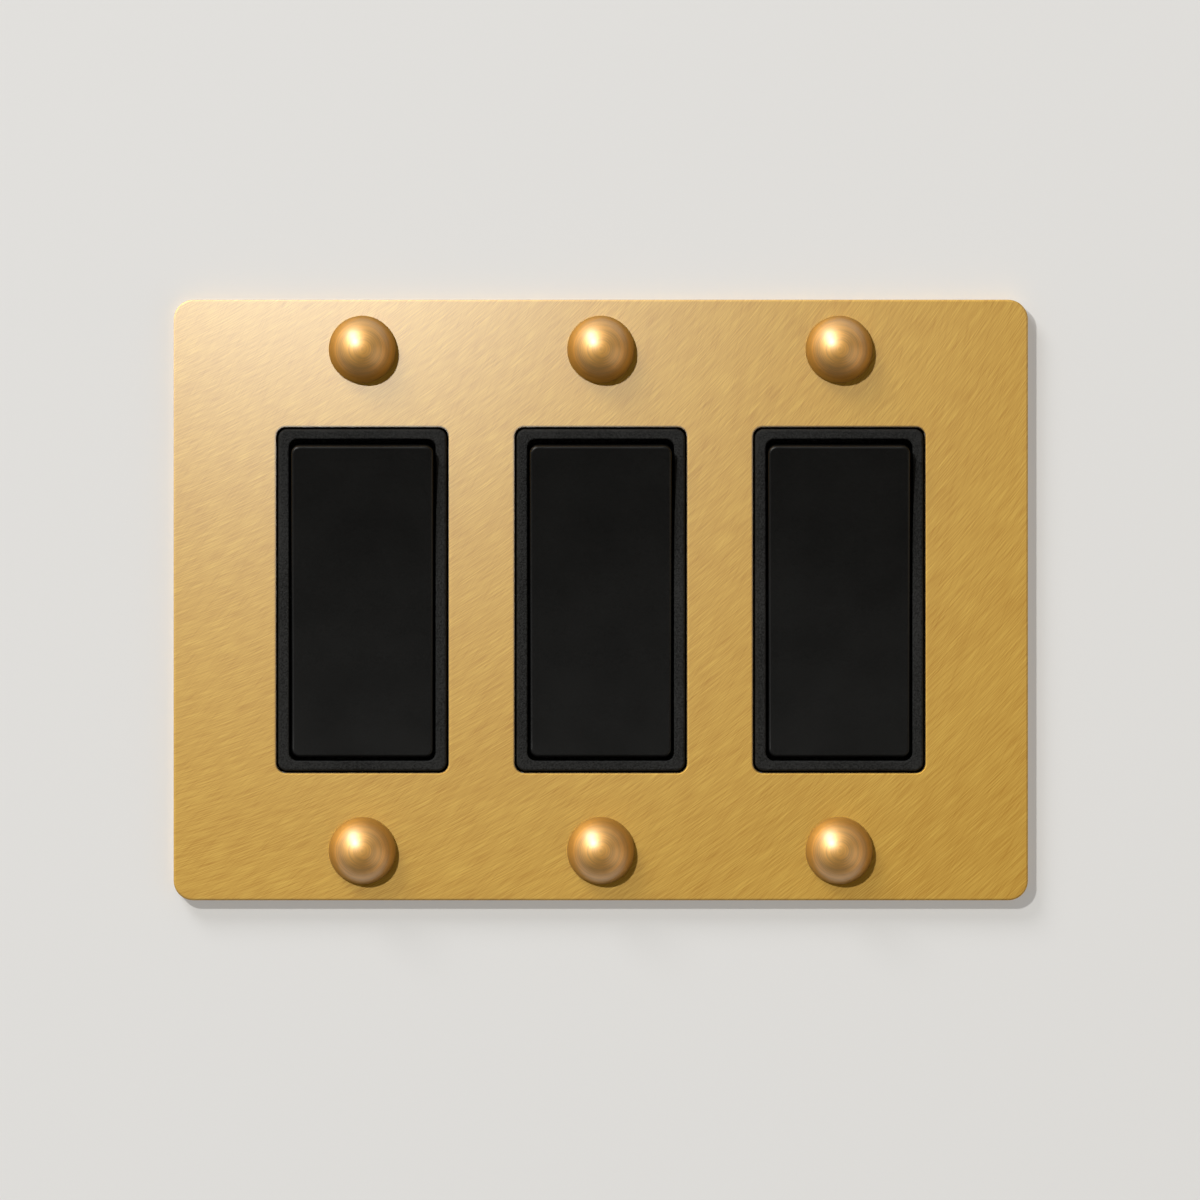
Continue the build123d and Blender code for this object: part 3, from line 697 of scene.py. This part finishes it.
class SWITCH_OT_box_screws(bpy.types.Operator):
    """Cut the box screws' slots and threads, and lay the fibre retainers"""

    bl_idname = "switch.box_screws"
    bl_label = "Box screws"

    def execute(self, context):
        scene = context.scene
        sizes = scene.switch_sizes
        head = BOX_LOW.y
        floor = head + BOX_SLOT_DEPTH
        seat = head + BOX_HEAD_HEIGHT
        profile = [
            (BOX_HEAD_RADIUS, floor),
            (BOX_HEAD_RADIUS, seat),
            (BOX_NECK_RADIUS, seat),
            (BOX_NECK_RADIUS, BOX_NECK_Y),
        ]
        mesh = bmesh.new()
        turn_profile(mesh, profile, BOX_HEAD_SIDES)
        for side in (1, -1):
            add_land(mesh, side, head, floor)
        add_thread(mesh, BOX_NECK_Y, BOX_HIGH.y, sizes.thread_pitch, sizes.thread_depth)
        copies(mesh, screw_places(BOX_SCREW_Z))
        steel = plated_screw("box_screw_steel", scene.switch_finishes.zinc, 1.0, 0.38)
        screws = piece_from("threaded_box_screws", mesh, "wall_unit", steel)
        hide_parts("box_screws")
        dress(fibre_board(scene.switch_finishes), "screw_retainers")
        return {"FINISHED"}


class SWITCH_OT_housings(bpy.types.Operator):
    """Finish the moulded housings"""

    bl_idname = "switch.housings"
    bl_label = "Housings"

    def execute(self, context):
        shade = context.scene.switch_finishes.housing_grey
        plastic = moulded("housing_plastic", shade, 0.0006, rough=0.5, spread=0.08, depth=0.15, gloss=0.4)
        dress(plastic, *each_gang("housing"))
        return {"FINISHED"}


class SWITCH_OT_terminals(bpy.types.Operator):
    """Finish the terminals, contacts and their screws"""

    bl_idname = "switch.terminals"
    bl_label = "Terminals and contacts"

    def execute(self, context):
        looks = context.scene.switch_finishes
        strip = drawn_metal("terminal_brass", looks.terminal, 0.006, 0.00012, 0.3)
        dress(strip, *each_gang("common_terminal", "upper_traveller", "lower_traveller"))
        dress(plated_screw("screw_brass", looks.terminal, 1.0, 0.4), "traveller_screws")
        dress(plated_screw("dark_screw", looks.oxide, 0.7, 0.5), "common_screws")
        dress(plated_screw("green_screw", looks.green, 0.8, 0.42), "earth_screws")
        silver = drawn_metal("silver", looks.silver, 0.002, 0.0001, 0.26)
        dress(silver, *each_gang("fixed_contacts", "moving_contacts"))
        return {"FINISHED"}


class SWITCH_OT_works(bpy.types.Operator):
    """Wind the springs, and finish the plungers and contact blades"""

    bl_idname = "switch.works"
    bl_label = "Plungers, springs and blades"

    def execute(self, context):
        looks = context.scene.switch_finishes
        steel = drawn_metal("spring_steel", looks.spring, 0.004, 0.00008, 0.32)
        for gang in GANGS:
            add_spring(gang, context.scene.switch_sizes.spring_wire, steel)
        dress(nylon_moulding(looks), *each_gang("plunger"))
        dress(drawn_metal("copper", looks.copper, 0.008, 0.00014, 0.34), *each_gang("contact_blade"))
        return {"FINISHED"}


def wall_with_opening(half, hole_x, hole_z):
    """A wall in the plane y = 0 with an opening for the box, facing -Y."""
    mesh = bmesh.new()
    corners = ((-1, -1), (1, -1), (1, 1), (-1, 1))
    outer = [mesh.verts.new((half * right, 0.0, half * up)) for right, up in corners]
    inner = [mesh.verts.new((hole_x * right, 0.0, hole_z * up)) for right, up in corners]
    bridge(mesh, outer, inner)
    return mesh


def wall_paint(stage):
    """Pale matt paint, seen only from the room's side."""
    material, page, shader = finish("wall_paint")
    where, _ = page.place()
    nap = page.noise(where, 700.0, 3.0)
    page.feed(shader.inputs["Base Color"], page.blend(nap, scaled(stage.wall, 0.997), stage.wall))
    shader.inputs["Roughness"].default_value = 0.9
    shader.inputs["Specular IOR Level"].default_value = 0.1

    # Part of the paleness is even, so that shadows on the wall stay soft
    path = page.add("ShaderNodeLightPath")
    seen = page.calc("MAXIMUM", path.outputs["Is Camera Ray"], path.outputs["Is Glossy Ray"])
    seen = page.calc("MAXIMUM", seen, path.outputs["Is Transmission Ray"])
    shader.inputs["Emission Color"].default_value = (1.0, 1.0, 0.992, 1.0)
    page.feed(shader.inputs["Emission Strength"], page.calc("MULTIPLY", seen, stage.wall_glow))

    # From behind the wall is clear, so that the back of the switch can be seen
    clear = page.add("ShaderNodeBsdfTransparent")
    mixer = page.add("ShaderNodeMixShader")
    page.feed(mixer.inputs[0], page.add("ShaderNodeNewGeometry").outputs["Backfacing"])
    page.feed(mixer.inputs[1], shader.outputs[0])
    page.feed(mixer.inputs[2], clear.outputs[0])
    page.feed(material.node_tree.nodes["Material Output"].inputs[0], mixer.outputs[0])
    return material


def lamp(name, place, aim, width, shade, watts):
    """A round lamp that faces a point."""
    light = bpy.data.lights.new(name, "AREA")
    light.shape = "DISK"
    light.size = width
    light.energy = watts
    light.color = shade
    piece = bpy.data.objects.new(name, light)
    bpy.context.scene.collection.objects.link(piece)
    piece.location = place
    piece.rotation_euler = (Vector(aim) - Vector(place)).to_track_quat("-Z", "Y").to_euler()


def dark_screen(stage):
    """A soft-edged dark cloth behind the camera, out of its sight, that the front faces mirror."""
    mesh_data = bmesh.new()
    mesh_data.faces.new(reversed(ring(mesh_data, stage.screen_radius, SCREEN_Y, SCREEN_SIDES)))
    mesh = bpy.data.meshes.new("dark_screen")
    mesh_data.to_mesh(mesh)
    mesh_data.free()
    material, page, shader = finish("dark_cloth")
    _, (x, _, z) = page.place()
    shader.inputs["Base Color"].default_value = (0.02, 0.02, 0.02, 1.0)
    shader.inputs["Roughness"].default_value = 0.95
    radius = page.hypotenuse(x, z)
    cover = page.remap(radius, stage.screen_radius * 0.35, stage.screen_radius, 1.0, 0.0)
    cover.node.interpolation_type = "SMOOTHSTEP"
    page.feed(shader.inputs["Alpha"], cover)
    mesh.materials.append(material)
    screen = bpy.data.objects.new("dark_screen", mesh)
    bpy.context.scene.collection.objects.link(screen)
    screen.visible_camera = False
    return screen


def room_light(scene, stage):
    """Soft light from the room, brightest above and to the left."""
    world = bpy.data.worlds.new("room")
    scene.world = world
    world.use_nodes = True
    page = NodePage(world.node_tree)
    split = page.add("ShaderNodeSeparateXYZ")
    page.feed(split.inputs[0], page.add("ShaderNodeTexCoord").outputs["Generated"])
    right, _, up = split.outputs
    toward = page.weighted((right, ROOM_SIDE[0]), (up, ROOM_SIDE[1]))
    strength = page.remap(toward, -0.5, 0.9, stage.room_low, stage.room_high)
    strength.node.interpolation_type = "SMOOTHSTEP"
    ground = world.node_tree.nodes["Background"]
    ground.inputs["Color"].default_value = (1.0, 0.99, 0.97, 1.0)
    page.feed(ground.inputs["Strength"], strength)


class SWITCH_OT_stage(bpy.types.Operator):
    """Set up the wall, the lamps and the camera"""

    bl_idname = "switch.stage"
    bl_label = "Wall, light and camera"

    def execute(self, context):
        scene = context.scene
        stage = scene.switch_stage
        scene.view_settings.view_transform = "Standard"
        mesh = bpy.data.meshes.new("wall")
        opening = wall_with_opening(WALL_HALF, PLATE_HIGH.x - OPENING_INSET_X, PLATE_HIGH.z - OPENING_INSET_Z)
        opening.to_mesh(mesh)
        opening.free()
        mesh.materials.append(wall_paint(stage))
        wall = bpy.data.objects.new("wall", mesh)
        scene.collection.objects.link(wall)
        room_light(scene, stage)
        for name, place, aim, width, shade, setting in LAMPS:
            lamp(name, place, aim, width, shade, getattr(stage, setting))
        dark_screen(stage)
        view = bpy.data.cameras.new("front_camera")
        view.sensor_width = SENSOR_WIDTH
        view.lens = SENSOR_WIDTH * stage.camera_distance / stage.frame_width
        view.clip_end = VIEW_REACH
        camera = bpy.data.objects.new("front_camera", view)
        scene.collection.objects.link(camera)
        camera.location = (stage.camera_shift_x, PLATE_LOW.y - stage.camera_distance, 0.0)
        camera.rotation_euler = (math.pi / 2, 0.0, 0.0)
        scene.camera = camera
        return {"FINISHED"}


PIECES = (
    SWITCH_OT_plate,
    SWITCH_OT_domes,
    SWITCH_OT_bezels,
    SWITCH_OT_rockers,
    SWITCH_OT_straps,
    SWITCH_OT_box_screws,
    SWITCH_OT_housings,
    SWITCH_OT_terminals,
    SWITCH_OT_works,
    SWITCH_OT_stage,
)
SETTINGS = {
    "switch_finishes": SwitchFinishes,
    "switch_sizes": SwitchSizes,
    "switch_stage": SwitchStage,
}


class SWITCH_PT_panel(bpy.types.Panel):
    """Settings of the switch, and a button for each group of pieces"""

    bl_label = "Three-gang switch"
    bl_idname = "SWITCH_PT_panel"
    bl_space_type = "VIEW_3D"
    bl_region_type = "UI"
    bl_category = "Switch"

    def draw(self, context):
        for settings, group in SETTINGS.items():
            box = self.layout.box()
            for name in group.__annotations__:
                box.prop(getattr(context.scene, settings), name)
        for piece in PIECES:
            self.layout.operator(piece.bl_idname)


CLASSES = (*SETTINGS.values(), *PIECES, SWITCH_PT_panel)


def register():
    for item in CLASSES:
        bpy.utils.register_class(item)
    for settings, group in SETTINGS.items():
        setattr(bpy.types.Scene, settings, PointerProperty(type=group))


def unregister():
    for settings in SETTINGS:
        delattr(bpy.types.Scene, settings)
    for item in reversed(CLASSES):
        bpy.utils.unregister_class(item)


def main():
    register()
    bpy.ops.switch.plate()
    bpy.ops.switch.domes()
    bpy.ops.switch.bezels()
    bpy.ops.switch.rockers()
    bpy.ops.switch.straps()
    bpy.ops.switch.box_screws()
    bpy.ops.switch.housings()
    bpy.ops.switch.terminals()
    bpy.ops.switch.works()
    bpy.ops.switch.stage()


if __name__ == "__main__":
    main()
